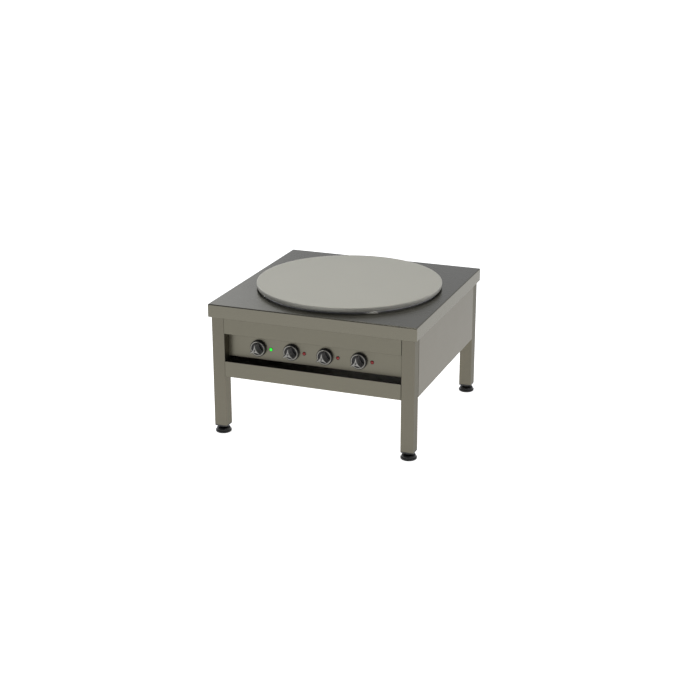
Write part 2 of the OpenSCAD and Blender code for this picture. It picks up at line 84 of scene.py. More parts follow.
studio = {
    "sky": "e7eaf2",          # cool, so that the flat top looks neutral beside the warm fronts
    "skyBands": [(0.0, 1.25), (0.2, 1.1), (0.42, 0.62), (1.0, 0.22)],   # sine of height, strength
    "skyFront": 0.3,          # share of that left straight in front of the table
    "skyTurn": (-0.9, -0.1),  # front to back, where it starts and stops growing from that share to all
    "floor": ("f0f0ee", "f6f6f4"),
    "floorRough": 0.85,
    "floorGrain": 40 * mm,
    "floorGlow": 0.92,        # the floor glows evenly, so that it leaves almost no shadow
    "floorSize": 120.0,       # metres
}

softBoxes = {                 # place, aim, width in metres, watts, colour
    "backLeft": ((-2.3, 3.2, 1.95), (-0.25, -0.25, 0.41), 1.3, 3.4, "f2f4f8"),
    "overhead": ((0.0, 0.0, 3.0), (0.0, 0.001, 0.4), 1.2, 22, "fffdf8"),
    "leftStrip": ((-3.2, 1.4, 1.55), (-0.2, -0.2, 0.41), 0.9, 9, "f4f6fa"),
    "rightStrip": ((2.6, -2.2, 1.6), (0.18, -0.2, 0.41), 0.7, 6, "fbfaf6"),
}


def linearColour(hexText):
    # sRGB to linear, channel by channel: c/12.92 under 0.04045, else ((c + 0.055)/1.055)^2.4
    channels = [int(hexText[i:i + 2], 16) / 255 for i in (0, 2, 4)]
    linear = [c / 12.92 if c <= 0.04045 else ((c + 0.055) / 1.055) ** 2.4 for c in channels]
    return (*linear, 1.0)


def addNode(tree, kind, settings=None, links=None):
    # one node: settings go to its properties or its sockets, links come into its sockets
    node = tree.nodes.new(kind)
    for key, value in (settings or {}).items():
        if isinstance(key, int) or (key in node.inputs and not hasattr(node, key)):
            node.inputs[key].default_value = value
        else:
            setattr(node, key, value)
    for key, source in (links or {}).items():
        tree.links.new(source, node.inputs[key])
    return node


def lightStudio():
    world = bpy.data.worlds.new("studioWorld")
    world.use_nodes = True
    tree = world.node_tree
    tree.nodes.clear()
    where = addNode(tree, "ShaderNodeTexCoord")
    axes = addNode(tree, "ShaderNodeSeparateXYZ", links={0: where.outputs["Generated"]})
    ramp = addNode(tree, "ShaderNodeValToRGB", links={"Fac": axes.outputs["Z"]})
    bands = ramp.color_ramp.elements
    for k, (height, strength) in enumerate(studio["skyBands"]):
        band = bands[k] if k < 2 else bands.new(height)
        band.position = height
        band.color = [strength * c for c in linearColour(studio["sky"])[:3]] + [1]
    front, back = studio["skyTurn"]
    side = addNode(tree, "ShaderNodeMapRange", {"From Min": front, "From Max": back,
                                                "To Min": studio["skyFront"], "To Max": 1.0},
                   {"Value": axes.outputs["Y"]})
    glow = addNode(tree, "ShaderNodeBackground", links={"Color": ramp.outputs["Color"],
                                                        "Strength": side.outputs[0]})
    addNode(tree, "ShaderNodeOutputWorld", links={"Surface": glow.outputs[0]})
    scene.world = world
    for name, (place, aim, width, watts, colour) in softBoxes.items():
        data = bpy.data.lights.new(name, "AREA")
        data.shape = "DISK"
        data.size = width
        data.energy = watts
        data.color = linearColour(colour)[:3]
        box = bpy.data.objects.new(name, data)
        box.location = place
        box.rotation_euler = (Vector(aim) - Vector(place)).to_track_quat("-Z", "Y").to_euler()
        box.visible_camera = False
        scene.collection.objects.link(box)


lightStudio()
print("studio lit:", len(softBoxes), "soft boxes and the sky")


def startMaterial(name):
    material = bpy.data.materials.new(name)
    material.use_nodes = True
    tree = material.node_tree
    tree.nodes.clear()
    shader = addNode(tree, "ShaderNodeBsdfPrincipled")
    addNode(tree, "ShaderNodeOutputMaterial", links={"Surface": shader.outputs[0]})
    where = addNode(tree, "ShaderNodeTexCoord")
    return material, tree, shader, where.outputs["Object"]


noiseRange = {"From Min": 0.25, "From Max": 0.75}     # nearly all of a noise pattern lies in here


def applyFinish(tree, shader, pattern, colours, rough, relief, strength, deep):
    # colour and roughness follow one pattern, from the first to the second of each pair, and the
    # surface rises and falls with the relief
    dark, light = [linearColour(colour) for colour in colours]
    tone = addNode(tree, "ShaderNodeMix", {"data_type": "RGBA", 6: dark, 7: light}, {0: pattern})
    gloss = addNode(tree, "ShaderNodeMapRange", {**noiseRange, "To Min": rough[0], "To Max": rough[1]},
                    {"Value": pattern})
    bump = addNode(tree, "ShaderNodeBump", {"Strength": strength, "Distance": deep}, {"Height": relief})
    tree.links.new(tone.outputs[2], shader.inputs["Base Color"])
    tree.links.new(gloss.outputs[0], shader.inputs["Roughness"])
    tree.links.new(bump.outputs[0], shader.inputs["Normal"])


# Stainless steel 1.4301, brushed with a 180 grit belt and then washed: long fine scratches one way,
# which smear reflections across the grain, and a slightly warm grey with no mirror image.
brushed = {
    "scratchLong": 180 * mm,     # how far one scratch runs
    "scratchWide": 0.9 * mm,     # drawn about six times the real width, so that it shows
    "scratchDeep": 0.006 * mm,
    "relief": 0.2,               # strength of the scratches in the light
    "smudge": 70 * mm,           # size of the faint clean and less clean patches
    "smudgeShare": 0.4,
    "scratchShare": (0.1, 0.5),
    "roughSpread": 0.03,
    "edgeTint": 0.8,             # scratches shade each other at a flat angle, so it brightens less there
}


def brushedSteel(name, dark, light, rough, along, edge=brushed["edgeTint"]):
    material, tree, shader, where = startMaterial(name)
    scale = [1 / brushed["scratchWide"]] * 3
    scale["XYZ".index(along)] = 1 / brushed["scratchLong"]
    stretched = addNode(tree, "ShaderNodeMapping", {"Scale": scale}, {"Vector": where})
    grain = addNode(tree, "ShaderNodeTexNoise", {"Scale": 1.0, "Detail": 4.0, "Roughness": 0.65},
                    {"Vector": stretched.outputs[0]})
    patch = addNode(tree, "ShaderNodeTexNoise", {"Scale": 1 / brushed["smudge"], "Detail": 2.0},
                    {"Vector": where})
    low, high = brushed["scratchShare"]
    scratch = addNode(tree, "ShaderNodeMapRange", {**noiseRange, "To Min": low, "To Max": high},
                      {"Value": grain.outputs["Fac"]})
    both = addNode(tree, "ShaderNodeMath", {"operation": "MULTIPLY_ADD", 1: brushed["smudgeShare"]},
                   {0: patch.outputs["Fac"], 2: scratch.outputs[0]})
    applyFinish(tree, shader, both.outputs[0], (dark, light),
                (rough - brushed["roughSpread"], rough + brushed["roughSpread"]),
                grain.outputs["Fac"], brushed["relief"], brushed["scratchDeep"])
    shader.inputs["Metallic"].default_value = 1.0
    shader.inputs["Specular Tint"].default_value = (edge, edge, edge, 1)
    return material


# Thick steel plate, faced on a lathe and then heat-tinted a little: rings too fine to count, and a
# dull even grey, because the cut surface scatters light widely.
turned = {
    "ringPitch": 1.5 * mm,       # drawn five times the real feed, so that it shows
    "ringDeep": 0.01 * mm,
    "ringShare": 0.12,           # how much the rings add to the shade
    "relief": 0.3,               # strength of the rings in the light
    "blotch": 120 * mm,          # size of the heat-tinted patches
    "pit": 1.25 * mm,            # fine specks of oxide, drawn about ten times too large, so that they show
    "pitShare": 0.25,
    "roughSpread": 0.04,
}


def turnedSteel(name, dark, light, rough, metallic):
    material, tree, shader, where = startMaterial(name)
    flat = addNode(tree, "ShaderNodeVectorMath", {"operation": "MULTIPLY", 1: (1, 1, 0)}, {0: where})
    radius = addNode(tree, "ShaderNodeVectorMath", {"operation": "LENGTH"}, {0: flat.outputs[0]})
    angle = addNode(tree, "ShaderNodeMath", {"operation": "MULTIPLY", 1: turn / turned["ringPitch"]},
                    {0: radius.outputs["Value"]})
    wave = addNode(tree, "ShaderNodeMath", {"operation": "SINE"}, {0: angle.outputs[0]})
    blotch = addNode(tree, "ShaderNodeTexNoise", {"Scale": 1 / turned["blotch"], "Detail": 5.0},
                     {"Vector": where})
    pit = addNode(tree, "ShaderNodeTexNoise", {"Scale": 1 / turned["pit"], "Detail": 2.0},
                  {"Vector": where})
    ringed = addNode(tree, "ShaderNodeMath", {"operation": "MULTIPLY_ADD", 1: turned["ringShare"]},
                     {0: wave.outputs[0], 2: blotch.outputs["Fac"]})
    pitted = addNode(tree, "ShaderNodeMath", {"operation": "MULTIPLY_ADD", 1: turned["pitShare"]},
                     {0: pit.outputs["Fac"], 2: ringed.outputs[0]})
    # the specks average a half, which is taken off again
    mixed = addNode(tree, "ShaderNodeMath", {"operation": "SUBTRACT", 1: turned["pitShare"] / 2},
                    {0: pitted.outputs[0]})
    applyFinish(tree, shader, mixed.outputs[0], (dark, light),
                (rough - turned["roughSpread"], rough + turned["roughSpread"]),
                wave.outputs[0], turned["relief"], turned["ringDeep"])
    shader.inputs["Metallic"].default_value = metallic
    return material


# Everything moulded, cast, plated or painted: a fine even grain on the surface, and a slow change of
# shade. The grain size, its depth and the gloss tell a soft matt moulding from a plated part.
even = {
    "slow": 0.06,                # the slow pattern's scale, as a share of the grain's
    "slowShare": (0.0, 0.5),
    "grainShare": 0.5,
    "relief": 0.5,               # strength of the grain in the light
    "roughSpread": 0.05,
}


def evenFinish(name, dark, light, rough, grain, deep, metallic=0.0, ior=1.5):
    material, tree, shader, where = startMaterial(name)
    fine = addNode(tree, "ShaderNodeTexNoise", {"Scale": 1 / grain, "Detail": 3.0}, {"Vector": where})
    slow = addNode(tree, "ShaderNodeTexNoise", {"Scale": even["slow"] / grain, "Detail": 2.0},
                   {"Vector": where})
    low, high = even["slowShare"]
    drift = addNode(tree, "ShaderNodeMapRange", {**noiseRange, "To Min": low, "To Max": high},
                    {"Value": slow.outputs["Fac"]})
    both = addNode(tree, "ShaderNodeMath", {"operation": "MULTIPLY_ADD", 1: even["grainShare"]},
                   {0: fine.outputs["Fac"], 2: drift.outputs[0]})
    applyFinish(tree, shader, both.outputs[0], (dark, light),
                (rough - even["roughSpread"], rough + even["roughSpread"]),
                fine.outputs["Fac"], even["relief"], deep)
    shader.inputs["Metallic"].default_value = metallic
    if not metallic:
        shader.inputs["IOR"].default_value = ior
    return material


# Polycarbonate lamp lens, moulded with a polished face: saturated, glossy, and lit from behind when on.
def lensPlastic(name, dark, light, glow, strength):
    material = evenFinish(name, dark, light, 0.18, 1.2 * mm, 0.004 * mm, ior=1.585)
    shader = material.node_tree.nodes["Principled BSDF"]
    shader.inputs["Emission Color"].default_value = linearColour(glow)
    shader.inputs["Emission Strength"].default_value = strength
    return material


# The same brushed stainless all over the table, its scratches along each sheet's length.
steelSheet = brushedSteel("brushedStainlessTop", "6b685d", "716e63", 0.26, "X")
steelFront = brushedSteel("brushedStainlessFront", "68655a", "726f63", 0.36, "X")
# The side panels' copy is drawn paler than the fronts: painted light, so that the sides look more brightly
# lit.
steelSidePaintedLight = brushedSteel("brushedStainlessSidePaintedLight", "6e6a60", "777369", 0.36, "Y")
steelLeg = brushedSteel("brushedStainlessLeg", "656257", "6f6b60", 0.36, "Z", 0.6)
# Galvanised sheet, rolled: paler and duller than the stainless, with a faint grain one way.
steelCover = brushedSteel("galvanisedSteel", "aaa79f", "bab7ae", 0.48, "X")
# Thick plate, seasoned: a thin matt oxide takes half of the metal's gloss away.
steelPlate = turnedSteel("turnedPlateSteel", "c8c6b9", "cfcdc1", 0.62, 0.45)
# The plate's side has the same thin oxide: a soft half-metal grey, paler where the light reaches it.
steelRim = evenFinish("turnedPlateEdge", "b4b2a8", "bfbdb3", 0.5, 1.2 * mm, 0.012 * mm, 0.5)
# Stainless ring, turned and polished: nearly a mirror.
steelPolished = evenFinish("polishedStainless", "b4b4b4", "c4c4c4", 0.13, 2 * mm, 0.002 * mm, 1.0)
# Mild steel with a coat of grey primer: dead matt.
steelPrimed = evenFinish("greyPrimer", "343434", "3e3e3d", 0.7, 1.2 * mm, 0.02 * mm)
# Bolts and studs, zinc plated: pale, slightly blue, half dull.
zinc = evenFinish("zincPlate", "8e9195", "a2a5a8", 0.36, 1.5 * mm, 0.01 * mm, 1.0)
# Nickel alloy tube, darkened by heat: brown black and half dull.
sheath = evenFinish("heatDarkSheath", "2a2724", "3c3833", 0.5, 1.0 * mm, 0.01 * mm, 1.0)
# Ceramic fibre board, felted: white and soft.
fibre = evenFinish("ceramicFibre", "cfcac0", "e4e0d8", 0.9, 2.5 * mm, 0.25 * mm)
# Steatite block, pressed and fired, unglazed: cream and matt.
steatite = evenFinish("steatite", "cbc6b8", "ddd9cc", 0.6, 1.0 * mm, 0.02 * mm, ior=1.6)
# Beige polyamide switch bodies, moulded: a soft, even sheen.
polyamide = evenFinish("beigePolyamide", "9a927e", "aaa28e", 0.5, 0.9 * mm, 0.01 * mm, ior=1.53)
# Black polyamide, moulded with a fine spark-eroded texture, for plugs, lamp bodies and gland: half matt.
blackMoulded = evenFinish("blackPolyamide", "0d0d0d", "161616", 0.45, 0.7 * mm, 0.015 * mm, ior=1.53)
# Phenolic knob skirt, compression moulded and polished: deep black with a clear highlight.
phenolic = evenFinish("blackPhenolic", "060606", "0c0c0c", 0.3, 1.2 * mm, 0.003 * mm, ior=1.42)
# Grip of the same black moulding, blasted matt. Its charcoal colour is painted sheen, standing in for the
# grey that the flutes reflect.
phenolicGripPaintedSheen = evenFinish("charcoalGripPaintedSheen", "4c4b4a", "5c5b59", 0.5, 0.7 * mm, 0.008 * mm, ior=1.6)
# Dial ring, ABS with a vacuum-plated satin film: silver with a broad soft highlight.
dialFilm = evenFinish("satinPlatedAbs", "7f7d77", "8f8d86", 0.36, 1.0 * mm, 0.004 * mm, 1.0)
# Cap, die cast and satin chrome plated: smoother than the dial.
capChrome = evenFinish("satinChromeCap", "7b7a77", "8d8c88", 0.3, 1.0 * mm, 0.004 * mm, 1.0)
# Foot pad, moulded glass-filled polyamide: black with soft highlights.
footBlack = evenFinish("footPolyamide", "080808", "0f0f0f", 0.3, 0.9 * mm, 0.01 * mm, ior=1.42)
lensGreen = lensPlastic("greenLensLit", "0c8c1e", "10a824", "23f53b", 1.0)
# The red lamps are off. Their faint glow is painted light, standing in for the light that their domes
# catch.
lensRedPaintedGlow = lensPlastic("redLensUnlitPaintedGlow", "7c1a18", "8c2220", "8c1414", 0.15)

nodeFinish = {
    "top_sheet_steel": steelSheet, "panel_steel": steelFront, "leg_steel": steelLeg,
    "polished_steel": steelPolished, "plate_steel": steelPlate, "frame_steel": steelPrimed,
    "cover_steel": steelCover, "fastener_steel": zinc, "element_sheath": sheath,
    "ceramic_fibre": fibre, "switch_plastic": polyamide, "terminal_ceramic": steatite,
    "gland_plastic": blackMoulded, "black_plastic": blackMoulded, "foot_black": footBlack,
    "knob_black": phenolic, "dial_silver": dialFilm, "cap_silver": capChrome,
    "green_lens": lensGreen, "red_lens": lensRedPaintedGlow,
}


def finishNodes():
    # every CAD node gets the finish of its slot; the pieces below replace the ones seen close
    for name, node in frame["nodes"].items():
        node.data.materials.clear()
        node.data.materials.append(nodeFinish[slotOf[name]])
    for name in ("side_panel_left", "side_panel_right"):
        frame["nodes"][name].data.materials[0] = steelSidePaintedLight


finishNodes()
print("materials made:", len(bpy.data.materials))


def layFloor():
    # pale opal acrylic, lit from below: smooth, matt and white
    half = studio["floorSize"] / 2
    dark, light = studio["floor"]
    mesh = bpy.data.meshes.new("studioFloor")
    mesh.from_pydata([(-half, -half, 0), (half, -half, 0), (half, half, 0), (-half, half, 0)], [],
                     [(0, 1, 2, 3)])
    floor = bpy.data.objects.new("studioFloor", mesh)
    scene.collection.objects.link(floor)
    paint = evenFinish("studioFloorAcrylic", dark, light, studio["floorRough"], studio["floorGrain"], 0.0)
    shader = paint.node_tree.nodes["Principled BSDF"]
    shader.inputs["Emission Color"].default_value = (1, 1, 1, 1)
    shader.inputs["Emission Strength"].default_value = studio["floorGlow"]
    mesh.materials.append(paint)


layFloor()
print("floor laid")


def gridFaces(rows, columns, wrapRows, wrapColumns):
    # quads between neighbouring points of a rows x columns grid; wrapped ways join last to first
    i = np.arange(rows if wrapRows else rows - 1)
    j = np.arange(columns if wrapColumns else columns - 1)
    i, j = np.meshgrid(i, j, indexing="ij")
    nextI, nextJ = (i + 1) % rows, (j + 1) % columns
    corners = [i * columns + j, nextI * columns + j, nextI * columns + nextJ, i * columns + nextJ]
    return np.stack(corners, axis=-1).reshape(-1, 4)


def signedVolume(points, faces):
    # sum over triangles of p0 . (p1 x p2) / 6, each face fanned from its first corner
    total = 0.0
    for k in range(1, faces.shape[1] - 1):
        a, b, c = points[faces[:, 0]], points[faces[:, k]], points[faces[:, k + 1]]
        total += np.einsum("ij,ij->i", a, np.cross(b, c)).sum() / 6
    return total


def closedSurface(grid, wrapRows=True, wrapColumns=False):
    # points and faces of a closed skin over grid[row, column]: rows run round, columns run along, and
    # where the columns don't wrap, each end ring is closed with a fan to its own mean point
    rows, columns = grid.shape[:2]
    points = grid.reshape(-1, 3)
    quads = gridFaces(rows, columns, wrapRows, wrapColumns)
    fans = np.zeros((0, 3), int)
    if not wrapColumns:
        ring = np.arange(rows)
        near, far = ring * columns, ring * columns + columns - 1
        first, last = len(points), len(points) + 1
        points = np.vstack([points, grid[:, 0].mean(0), grid[:, -1].mean(0)])
        fans = np.vstack([np.stack([np.full(rows, first), np.roll(near, -1), near], 1),
                          np.stack([np.full(rows, last), far, np.roll(far, -1)], 1)])
    if signedVolume(points, quads) + (signedVolume(points, fans) if len(fans) else 0) < 0:
        quads, fans = quads[:, ::-1], fans[:, ::-1]
    return points, quads, fans


def addPiece(name, skins, material, node, sharp=35, replaces=True):
    # one object from one or more closed skins, riding on the body of a CAD node
    points, faces, start = [], [], 0
    for skin in skins:
        points.append(skin[0])
        for block in skin[1:]:
            faces += (block + start).tolist()
        start += len(skin[0])
    mesh = bpy.data.meshes.new(name)
    mesh.from_pydata(np.vstack(points).tolist(), [], faces)
    mesh.validate()
    mesh.shade_smooth()
    mesh.set_sharp_from_angle(angle=math.radians(sharp))
    mesh.materials.append(material)
    piece = bpy.data.objects.new(name, mesh)
    scene.collection.objects.link(piece)
    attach(piece, bodyOf[node])
    if replaces:
        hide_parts(node)
    return piece


def arc(centre, radius, start, end, steps):
    # points on a circle from one angle to the other, in degrees
    a = np.radians(np.linspace(start, end, steps))
    return np.stack([centre[0] + radius * np.cos(a), centre[1] + radius * np.sin(a)], 1)


def roundedOutline(corners, steps=5):
    # closed outline through corners (x, y, radius). Each corner is the curve
    # (1-t)^2 A + 2t(1-t) C + t^2 B, which leaves corner C at A and B, a radius away along each edge.
    # One more point just outside A and B keeps the flats beside a bend flat in the shading.
    justOutside = 1.12     # radii from the corner
    corners = np.array(corners, float)
    place, size = corners[:, :2], corners[:, 2:]
    t = np.linspace(0, 1, steps)[:, None]
    points = []
    for k in range(len(corners)):
        before, after = place[k - 1] - place[k], place[(k + 1) % len(corners)] - place[k]
        if size[k, 0] == 0:
            points.append(place[k:k + 1])
            continue
        before, after = before / np.linalg.norm(before), after / np.linalg.norm(after)
        a, b = place[k] + before * size[k], place[k] + after * size[k]
        curve = (1 - t) ** 2 * a + 2 * t * (1 - t) * place[k] + t ** 2 * b
        points.append(np.vstack([place[k] + before * size[k] * justOutside, curve,
                                 place[k] + after * size[k] * justOutside]))
    return np.vstack(points)


def revolve(profile, steps, origin, axis=2, flip=1):
    # profile (radius, height) turned about an axis through origin:
    # P = origin + r cos(a) e1 + r sin(a) e2 + flip h e3
    a = np.linspace(0, turn, steps, endpoint=False)[:, None]
    radius, height = profile[:, 0][None], profile[:, 1][None]
    parts = [radius * np.cos(a), radius * np.sin(a), flip * height + 0 * a]
    order = {2: (0, 1, 2), 1: (0, 2, 1), 0: (2, 0, 1)}[axis]
    return np.stack([parts[k] for k in order], -1) + np.array(origin)


def prism(outline, low, high, place):
    # outline (a, b) carried straight from low to high and closed with a cap at each end;
    # place(a, b, c) gives the point
    count = len(outline)
    ends = [place(outline[:, 0], outline[:, 1], np.full(count, c)) for c in (low, high)]
    points = np.vstack(ends)
    ring = np.arange(count)
    nextRing = (ring + 1) % count
    sides = np.stack([ring, nextRing, nextRing + count, ring + count], 1)
    caps = np.vstack([ring[None, ::-1], ring[None] + count])
    centred = points - points.mean(0)
    if signedVolume(centred, sides) + signedVolume(centred, caps) < 0:
        sides, caps = sides[:, ::-1], caps[:, ::-1]
    return points, sides, caps


def squarePath(halfX, halfY, radius, cornerSteps, sideSteps):
    # rounded rectangle: points and outward normals. Each corner is a quarter circle of the radius.
    # Each side is split evenly, with one more point close to each corner to keep it flat.
    close = 0.5 * mm
    middles = np.array([(1, 1), (-1, 1), (-1, -1), (1, -1)]) * (halfX - radius, halfY - radius)
    points, normals = [], []
    for k in range(4):
        a = np.radians(np.linspace(90 * k, 90 * k + 90, cornerSteps))
        normal = np.stack([np.cos(a), np.sin(a)], 1)
        corner = middles[k] + radius * normal
        points.append(corner)
        normals.append(normal)
        goal = middles[(k + 1) % 4] + radius * normal[-1]     # where the next corner begins
        near = close / np.linalg.norm(goal - corner[-1])
        t = np.concatenate([[near], np.linspace(0, 1, sideSteps + 2)[1:-1], [1 - near]])[:, None]
        points.append(corner[-1] + (goal - corner[-1]) * t)
        normals.append(np.repeat(normal[-1:], len(t), 0))
    return np.vstack(points), np.vstack(normals)


topSheet = {
    "thickness": 1.5 * mm,
    "fold": 3.0 * mm,        # outer radius of the fold along each edge
    "cornerRadius": 3.5 * mm,  # where two folded edges are welded and ground
    "hem": 7 * mm,           # the edge is turned inwards this far, flat against itself
    "loops": (0, 0.17, 0.33, 0.5, 0.67, 0.83, 0.985, 1),   # rings of points from the hole to the fold
    "support": 0.5 * mm,     # a loop this far past each bend keeps the edge flat
    "hemGap": 1.02,          # the hem stands off by this share of the thickness
}


def makeTopSheet():
    # The sheet is one section carried round the table. At path point S with outward normal n, the
    # section (offset o, height z) puts a point at S + o n; inside the fold, the sheet's flat runs from
    # S to the hole's circle C as C + t (S - C).
    low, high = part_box("top_sheet")
    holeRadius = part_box("plate_collar")[1].x
    fold, thick, corner = topSheet["fold"], topSheet["thickness"], topSheet["cornerRadius"]
    path, normal = squarePath(high.x, high.y, corner, 9, 40)
    inner = path - normal * fold
    angle = np.arctan2(inner[:, 1], inner[:, 0])
    circle = holeRadius * np.stack([np.cos(angle), np.sin(angle)], 1)
    columns = []

    def flat(t, z):
        spot = circle + (inner - circle) * t
        columns.append(np.column_stack([spot, np.full(len(spot), z)]))

    def edge(offset, z):
        spot = inner + normal * offset
        columns.append(np.column_stack([spot, np.full(len(spot), z)]))

    support, middle = topSheet["support"], (high.z + low.z) / 2
    for t in topSheet["loops"]:
        flat(t, high.z)
    for a in np.radians(np.linspace(15, 90, 6)):
        edge(fold * math.sin(a), high.z - fold * (1 - math.cos(a)))
    for z in (high.z - fold - support, middle, low.z + thick + support):
        edge(fold, z)
    hemTop = low.z + topSheet["hem"]
    for a in np.radians(np.linspace(0, 180, 9)):     # the hem folds inwards under itself
        edge(fold - thick + thick * math.cos(a), low.z + thick - thick * math.sin(a))
    edge(fold - 2 * thick, hemTop)
    edge(fold - thick * topSheet["hemGap"], hemTop)
    edge(fold - thick * topSheet["hemGap"], middle)
    for a in np.radians(np.linspace(90, 15, 5)):     # and back up the inside of the fold
        r = fold - thick
        edge(r * math.sin(a), high.z - thick - r * (1 - math.cos(a)))
    for t in np.linspace(1, 0, 5):
        flat(t, high.z - thick)
    grid = np.stack(columns, 1)
    addPiece("topSheetFolded", [closedSurface(grid, True, True)], steelSheet, "top_sheet", 30)


makeTopSheet()


collar = {
    "wall": 2.5 * mm,
    "weld": 0.5 * mm,        # the weld to the sheet is ground back to almost nothing
    "sink": 0.2 * mm,        # the weld's foot starts this far inside the sheet
    "edge": 0.5 * mm,        # chamfer of the upper outer edge
    "segments": 240,
}


def makeCollar():
    # a ring: its section, up the outside over the weld and down the inside, turned about the middle
    low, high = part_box("plate_collar")
    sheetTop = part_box("top_sheet")[1].z
    radius, wall, weld, edge = high.x, collar["wall"], collar["weld"], collar["edge"]
    weldFoot = sheetTop - collar["sink"]
    fillet = arc((radius + weld, sheetTop + weld), weld, 270, 180, 5)
    profile = np.vstack([
        [(radius, low.z), (radius, weldFoot), (radius + weld, weldFoot)],
        fillet,
        [(radius, high.z - edge), (radius - edge, high.z), (radius - wall, high.z),
         (radius - wall, low.z)],
    ])
    grid = revolve(profile, collar["segments"], (0, 0, 0))
    addPiece("plateCollarPolished", [closedSurface(grid, True, True)], steelPolished, "plate_collar", 40)


hotPlate = {
    "edge": 3.5 * mm,        # radius of the upper edge
    "under": 1.0 * mm,       # radius of the lower edge
    "ground": 1.3 * mm,      # the top is ground down to this far below its face
    "crown": 0.15 * mm,      # the face falls this much from the middle to the edge
    "bodyStep": 1.2 * mm,    # the body below stands this far outside the heat shield
    "neck": 1.5 * mm,        # chamfer between rim and body
    "foot": 1.0 * mm,        # chamfer of the body's lower edge
    "pole": 2.0 * mm,        # the rings of points start this far from the middle
    "segments": 240,
}


def makeHotPlate():
    # turned profile: the face z = top - crown (r / R)^2, a rounded rim, then the narrower body below it
    low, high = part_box("hot_plate")
    radius, edge, under = high.x, hotPlate["edge"], hotPlate["under"]
    neck, foot, pole = hotPlate["neck"], hotPlate["foot"], hotPlate["pole"]
    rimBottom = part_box("plate_collar")[1].z
    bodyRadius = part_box("heat_shield")[1].x + hotPlate["bodyStep"]
    r = np.linspace(pole, radius - edge, 16)
    face = np.stack([r, high.z - hotPlate["crown"] * (r / radius) ** 2], 1)
    shoulder = face[-1, 1]
    profile = np.vstack([
        face,
        arc((radius - edge, shoulder - edge), edge, 80, 0, 8),
        arc((radius - under, rimBottom + under), under, 0, -90, 5),
        [(bodyRadius + neck, rimBottom), (bodyRadius, rimBottom - neck),
         (bodyRadius, low.z + foot), (bodyRadius - foot, low.z), (pole, low.z)],
    ])
    grid = revolve(profile, hotPlate["segments"], (0, 0, 0))
    plate = addPiece("hotPlateTurned", [closedSurface(grid)], steelPlate, "hot_plate", 40)
    plate.data.materials.append(steelRim)
    count = len(plate.data.polygons)
    centres = np.zeros(count * 3)
    plate.data.polygons.foreach_get("center", centres)
    skin = centres[2::3] < shoulder - hotPlate["ground"]     # faces below the ground top keep their skin
    plate.data.polygons.foreach_set("material_index", skin.astype(np.int32))


makeCollar()
makeHotPlate()
print("top sheet, collar and plate made")


leg = {
    "corner": 3 * mm,
    "wall": 2 * mm,
    "deburr": 0.4 * mm,      # small chamfer on each cut end
    "insideCorner": 0.5 * mm,   # the least radius, inside the tube
}


def makeLeg(name):
    # square tube: outer and inner rounded squares, up the outside and down the inside
    low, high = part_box(name)
    centre = np.array([(low.x + high.x) / 2, (low.y + high.y) / 2, 0])
    half = (high.x - low.x) / 2
    wall, cut = leg["wall"], leg["deburr"]
    section = [(0, low.z + cut), (cut, low.z), (wall - cut, low.z), (wall, low.z + cut),
               (wall, high.z - cut), (wall - cut, high.z), (cut, high.z), (0, high.z - cut)]
    columns = []
    for inset, z in section:
        corner = max(leg["corner"] - inset, leg["insideCorner"])
        path = squarePath(half - inset, half - inset, corner, 7, 1)[0]
        columns.append(np.column_stack([path, np.full(len(path), z)]) + centre)
    tube = closedSurface(np.stack(columns, 1), True, True)
    addPiece(name.replace("leg_", "tube_"), [tube], steelLeg, name, 30)


for name in ("leg_front_left", "leg_front_right", "leg_rear_left", "leg_rear_right"):
    makeLeg(name)

panels = {
    "thickness": 1.2 * mm,
    "bend": 2.2 * mm,        # outer bend radius, along every folded edge
    "cutEdge": 0.3 * mm,     # rounding of a cut edge
    "hem": 6 * mm,           # the rail's upper edge is turned back on itself
    "hemRound": 1.1 * mm,
    "hemDepth": 2.1,         # thicknesses of sheet that the hem takes
    "closeUp": 0.35 * mm,    # the sheets are pushed this much further out, up to the legs
    "endFlange": 12 * mm,    # both ends are turned inwards beside the legs, so no light comes through there
    "overCover": 5 * mm,     # the end flanges start this far up, above the bottom cover
}


def angleSection(face, back, bottom, top, hemmed):
    # section of a folded sheet, as (depth, height): a front leaf down to a bend, and a flange going
    # back; depth runs from the outer face at 'face' towards 'back'
    thick, bend, cutEdge, hemRound = [panels[key] for key in ("thickness", "bend", "cutEdge", "hemRound")]
    way = 1 if back > face else -1
    inner = face + way * thick
    upper = [(inner, top, 0), (face, top, cutEdge)]
    if hemmed:
        fold = face + way * panels["hemDepth"] * thick
        upper = [(inner, top - panels["hem"], 0), (fold, top - panels["hem"], 0),
                 (fold, top, hemRound), (face, top, hemRound)]
    return roundedOutline(upper + [(face, bottom, bend), (back, bottom, cutEdge),
                                   (back, bottom + thick, 0), (inner, bottom + thick, bend - thick)])


def makePanel(name, piece, material, alongX, hemmed=False):
    # a folded section carried straight from one end of its node to the other
    low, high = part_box(name)
    close = panels["closeUp"]
    if alongX:      # faces the front
        section = angleSection(low.y, high.y, low.z, high.z, hemmed)
        skin = prism(section, low.x - close, high.x + close, lambda a, b, c: np.stack([c, a, b], 1))
    else:           # faces left or right
        face, back = (low.x, high.x) if low.x + high.x < 0 else (high.x, low.x)
        section = angleSection(face, back, low.z, high.z, hemmed)
        skin = prism(section, low.y - close, high.y + close, lambda a, b, c: np.stack([a, c, b], 1))
    addPiece(piece, [skin], material, name, 50)


